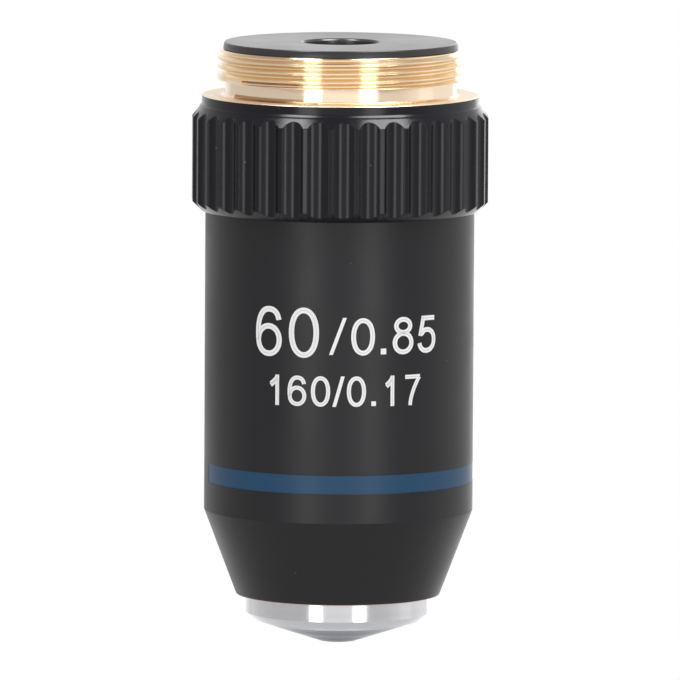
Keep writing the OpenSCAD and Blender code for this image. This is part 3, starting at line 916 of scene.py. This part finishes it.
# Text, middle along the skin, width and size of each numeral
UPPER_NUMERALS = [
    ("6", -6.042, 2.46, POWER), ("0", -2.912, 2.55, POWER),
    ("0", 1.962, 1.96, APERTURE), ("8", 5.43, 1.91, APERTURE), ("5", 7.746, 1.90, APERTURE),
]
LOWER_NUMERALS = [
    ("1", -5.50, 0.93, LOWER_ROW), ("6", -3.47, 1.60, LOWER_ROW), ("0", -1.495, 1.58, LOWER_ROW),
    ("0", 1.436, 1.57, LOWER_ROW), ("1", 4.213, 0.85, LOWER_ROW), ("7", 6.378, 1.59, LOWER_ROW),
]
# Middle, foot, width, height and lean of the square point and the slash in each row
UPPER_POINT, UPPER_SLASH = (3.675, -20.25, 0.47, 0.47, 0.0), (-0.10, -20.26, 0.31, 3.03, 1.12)
LOWER_POINT, LOWER_SLASH = (2.862, -24.45, 0.38, 0.38, 0.0), (-0.025, -24.50, 0.30, 2.49, 0.70)
PAINT_PROUD = 0.012     # how far the paint stands out of the skin
# The grey centre line is painted shade of a groove; it stands slightly prouder than the white paint
SHADE_LINE_PROUD, SHADE_LINE_WIDTH = 0.014, 0.035


def paint_numeral(sign, middle, width, size, drawn, proud, name):
    """Lays a numeral on the skin as an even layer of paint, with strokes as wide as drawn."""
    foot, height, stroke = size
    curve = bpy.data.curves.new(name, "CURVE")
    curve.dimensions = "2D"
    curve.fill_mode = "NONE"
    curve.resolution_u = 10
    curve.extrude = 0.5 * MM
    span_x, span_y = width - stroke, height - stroke
    left, low = middle - span_x / 2, foot + stroke / 2
    for shape in NUMERALS[sign]:
        spline = curve.splines.new("BEZIER")
        spline.bezier_points.add(len(shape["points"]) - 1)
        spline.use_cyclic_u = shape["closed"]
        for knot, places in zip(spline.bezier_points, shape["points"]):
            spots = [((left + x * span_x) * MM, (low + y * span_y) * MM, 0) for x, y in places]
            knot.handle_left_type = knot.handle_right_type = "FREE"
            knot.co, knot.handle_left, knot.handle_right = spots
    numeral = bpy.data.objects.new(name, curve)
    bpy.context.scene.collection.objects.link(numeral)
    pick(numeral)
    bpy.ops.object.convert(target="MESH")
    return lay_on_skin(thicken(bpy.context.object, drawn), proud)


def thicken(numeral, width):
    """Gives the centre lines their width."""
    tidy_mesh(numeral, 0.0005 * MM)
    wall = numeral.modifiers.new("stroke", "SOLIDIFY")
    wall.thickness = width * MM
    wall.offset = 0
    wall.use_even_offset = True
    return apply_modifiers(numeral)


def lay_on_skin(numeral, proud):
    """Wraps a flat numeral, 1 mm thick, round the sleeve. Its thickness becomes a thin layer on the skin."""
    rooted = -0.03
    for vertex in numeral.data.vertices:
        x, y, z = vertex.co / MM
        radius = SLEEVE_R + (proud if z > 0.49 else rooted)
        turn = x / SLEEVE_R
        vertex.co = Vector((radius * math.sin(turn), -radius * math.cos(turn), y)) * MM
    return face_outwards(numeral)


def plain_mark(middle, foot, width, height, lean, proud, name):
    """A square point, or a slash whose top leans over."""
    drop_selection()
    bpy.ops.mesh.primitive_cube_add(size=1, location=(middle * MM, (foot + height / 2) * MM, 0),
                                    scale=(width * MM, height * MM, MM))
    mark = settle(bpy.context.object)
    mark.name = name
    edit_all(mark)
    bpy.ops.mesh.subdivide(number_cuts=9)
    bpy.ops.object.mode_set(mode="OBJECT")
    for vertex in mark.data.vertices:
        share = (vertex.co.y / MM - foot) / height - 0.5
        vertex.co.x += share * lean * MM
    return lay_on_skin(mark, proud)


def finish_markings(marks, name, material):
    whole = join(marks)
    whole.name = name
    smooth(whole, 25)
    return finish_piece(dress(whole, material), "mount")


def make_markings(row, numerals, point, slash):
    """One row of white numerals, each with a thin grey line along the middle of its strokes, painted shade
    that stands for an engraved groove.
    """
    paint, groove = [], []
    for i, (*place, size) in enumerate(numerals):
        stroke = size[2]
        paint.append(paint_numeral(*place, size, stroke, PAINT_PROUD, f"{row}_{i}"))
        groove.append(paint_numeral(*place, size, SHADE_LINE_WIDTH, SHADE_LINE_PROUD, f"{row}_groove_{i}"))
    paint.append(plain_mark(*point, PAINT_PROUD, f"{row}_point"))
    paint.append(plain_mark(*slash, PAINT_PROUD, f"{row}_slash"))
    finish_markings(paint, f"{row}_numbers", WHITE_PAINT)
    finish_markings(groove, f"{row}_numbers_painted_groove_shade", GROOVE_SHADE_PAINT)


make_markings("upper", UPPER_NUMERALS, UPPER_POINT, UPPER_SLASH)
make_markings("lower", LOWER_NUMERALS, LOWER_POINT, LOWER_SLASH)


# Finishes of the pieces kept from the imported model

KEPT = {
    "parfocal_shim": SHIM_STEEL, "spring_retainer": INNER_BRASS, "lens_barrel": INNER_BRASS,
    "guide_pin": SCREW_STEEL, "meniscus_cell": INNER_BRASS, "meniscus_lens": CROWN_GLASS,
    "meniscus_spacer": ANODISED, "middle_cell": INNER_BRASS, "middle_crown": CROWN_GLASS,
    "middle_flint": FLINT_GLASS, "cell_spacer": ANODISED, "rear_cell": INNER_BRASS,
    "rear_crown": CROWN_GLASS, "rear_flint": FLINT_GLASS, "centring_screws": SCREW_STEEL,
    "cell_lock_ring": ANODISED, "glare_stop": ANODISED,
}
for node_name, material in KEPT.items():
    dress(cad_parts[node_name], material)


# Floor, surroundings, lamps and camera

def direct_and_mirrored(tree):
    """Shares of rays that see the background directly, and in a mirror or through glass."""
    path = tree.nodes.new("ShaderNodeLightPath")
    glossy, through_glass = path.outputs["Is Glossy Ray"], path.outputs["Is Transmission Ray"]
    return path.outputs["Is Camera Ray"], math_node(tree, "MAXIMUM", glossy, through_glass)


def make_floor():
    """A pale floor, well below the tip, that shows white and keeps the objective's shadow."""
    drop_selection()
    bpy.ops.mesh.primitive_plane_add(size=2.4, location=(0, 0, -0.28))
    floor = bpy.context.object
    floor.name = "floor"
    material = bpy.data.materials.new("pale floor")
    material.use_nodes = True
    tree = material.node_tree
    shader = tree.nodes["Principled BSDF"]
    shader.inputs["Base Color"].default_value = (0.55, 0.55, 0.55, 1)
    shader.inputs["Roughness"].default_value = 0.9
    shader.inputs["Specular IOR Level"].default_value = 0.1
    shader.inputs["Emission Color"].default_value = (1, 1, 1, 1)
    direct, mirrored = direct_and_mirrored(tree)
    place = tree.nodes.new("ShaderNodeTexCoord")
    parts = tree.nodes.new("ShaderNodeSeparateXYZ")
    tree.links.new(place.outputs["Object"], parts.inputs[0])
    rearward = math_node(tree, "MULTIPLY", parts.outputs["Y"], 1.4, clamp=True)
    behind = math_node(tree, "ADD", math_node(tree, "MULTIPLY", rearward, 0.7), 0.2)
    lift = math_node(tree, "ADD", math_node(tree, "MULTIPLY", direct, 0.75),
                     math_node(tree, "MULTIPLY", mirrored, behind))
    tree.links.new(lift, shader.inputs["Emission Strength"])
    dress(floor, material)


def make_surroundings():
    """White all round. What the metal mirrors is greyer in front and dims towards straight up and down."""
    world = bpy.data.worlds.new("studio")
    bpy.context.scene.world = world
    world.use_nodes = True
    tree = world.node_tree
    sky = tree.nodes["Background"]
    sky.inputs["Color"].default_value = (1, 1, 1, 1)
    direct, mirrored = direct_and_mirrored(tree)
    place = tree.nodes.new("ShaderNodeTexCoord")
    parts = tree.nodes.new("ShaderNodeSeparateXYZ")
    tree.links.new(place.outputs["Generated"], parts.inputs[0])
    rightward = math_node(tree, "MULTIPLY", parts.outputs["X"], 0.8)
    rearward = math_node(tree, "ADD", parts.outputs["Y"], rightward)
    studio = tree.nodes.new("ShaderNodeMapRange")
    studio.interpolation_type = "SMOOTHSTEP"
    tree.links.new(rearward, studio.inputs["Value"])
    for label, value in (("From Min", 0.2), ("From Max", 0.68), ("To Max", 1.0)):
        studio.inputs[label].default_value = value
    front = math_node(tree, "ADD", math_node(tree, "MULTIPLY", parts.outputs["X"], 0.08), 0.76)
    tree.links.new(front, studio.inputs["To Min"])
    height = math_node(tree, "MULTIPLY", parts.outputs["Z"], parts.outputs["Z"])
    dimmed = math_node(tree, "SUBTRACT", 1.0, math_node(tree, "MULTIPLY", height, 0.73))
    room = math_node(tree, "MULTIPLY", studio.outputs[0], dimmed)
    mirror = math_node(tree, "MULTIPLY", mirrored, room)
    other = math_node(tree, "SUBTRACT", 1.0, math_node(tree, "MAXIMUM", direct, mirrored))
    lit = math_node(tree, "MULTIPLY", other, 0.5)
    total = math_node(tree, "ADD", direct, math_node(tree, "ADD", mirror, lit))
    tree.links.new(total, sky.inputs["Strength"])


def make_softbox(name, place, along, width, length, strength):
    """A long soft lamp that faces the objective, with its long side along a direction."""
    lamp = bpy.data.lights.new(name, "AREA")
    lamp.shape = "RECTANGLE"
    lamp.size, lamp.size_y = width, length
    lamp.energy = strength * math.pi * width * length
    box = bpy.data.objects.new(name, lamp)
    bpy.context.scene.collection.objects.link(box)
    place = Vector(place)
    facing = place.normalized()
    side = Vector(along).cross(facing).normalized()
    upward = facing.cross(side)
    turn = Matrix((side, upward, facing)).transposed()
    box.location = place
    box.rotation_mode = "QUATERNION"
    box.rotation_quaternion = turn.to_quaternion()
    box.visible_camera = False
    return box


def make_camera():
    """A long lens a little above the objective's middle, very slightly rolled as in the photograph."""
    sight = Vector((0.07, 0, -20.21)) * MM
    distance = 1.08
    elevation = math.radians(6.1)
    back = Vector((0, -math.cos(elevation), math.sin(elevation)))
    data = bpy.data.cameras.new("camera")
    data.sensor_width = 36
    data.lens = 697
    data.clip_start, data.clip_end = 0.05, 60
    camera = bpy.data.objects.new("camera", data)
    bpy.context.scene.collection.objects.link(camera)
    camera.location = sight + back * distance
    camera.rotation_mode = "QUATERNION"
    roll = Quaternion((0, 0, 1), math.radians(0.33))
    camera.rotation_quaternion = (-back).to_track_quat("-Z", "Y") @ roll
    bpy.context.scene.camera = camera


UPRIGHT = (0, 0, 1)
FORWARD_LEFT, FORWARD_RIGHT = (-0.438, -0.85, -0.287), (0.438, -0.85, -0.287)

make_floor()
make_surroundings()
make_softbox("upright softbox left", (-0.45, -0.88, 0), UPRIGHT, 0.27, 0.6, 3.5)
make_softbox("upright softbox right", (0.46, -0.88, 0), UPRIGHT, 0.27, 0.6, 3.5)
make_softbox("overhead softbox left", (-0.158, -0.1, 0.354), FORWARD_LEFT, 0.112, 0.2, 17.0)
make_softbox("overhead softbox right", (0.16, -0.09, 0.355), FORWARD_RIGHT, 0.184, 0.2, 16.0)
make_softbox("front panel", (0.01, -1.0, 0), UPRIGHT, 0.62, 0.6, 0.36)
make_softbox("side panel right", (0.996, 0.087, 0), UPRIGHT, 0.37, 0.8, 0.14)
make_softbox("rim softbox right", (0.259, 0.966, 0), UPRIGHT, 0.42, 0.9, 0.9)
make_camera()
bpy.context.scene.view_settings.view_transform = "Standard"
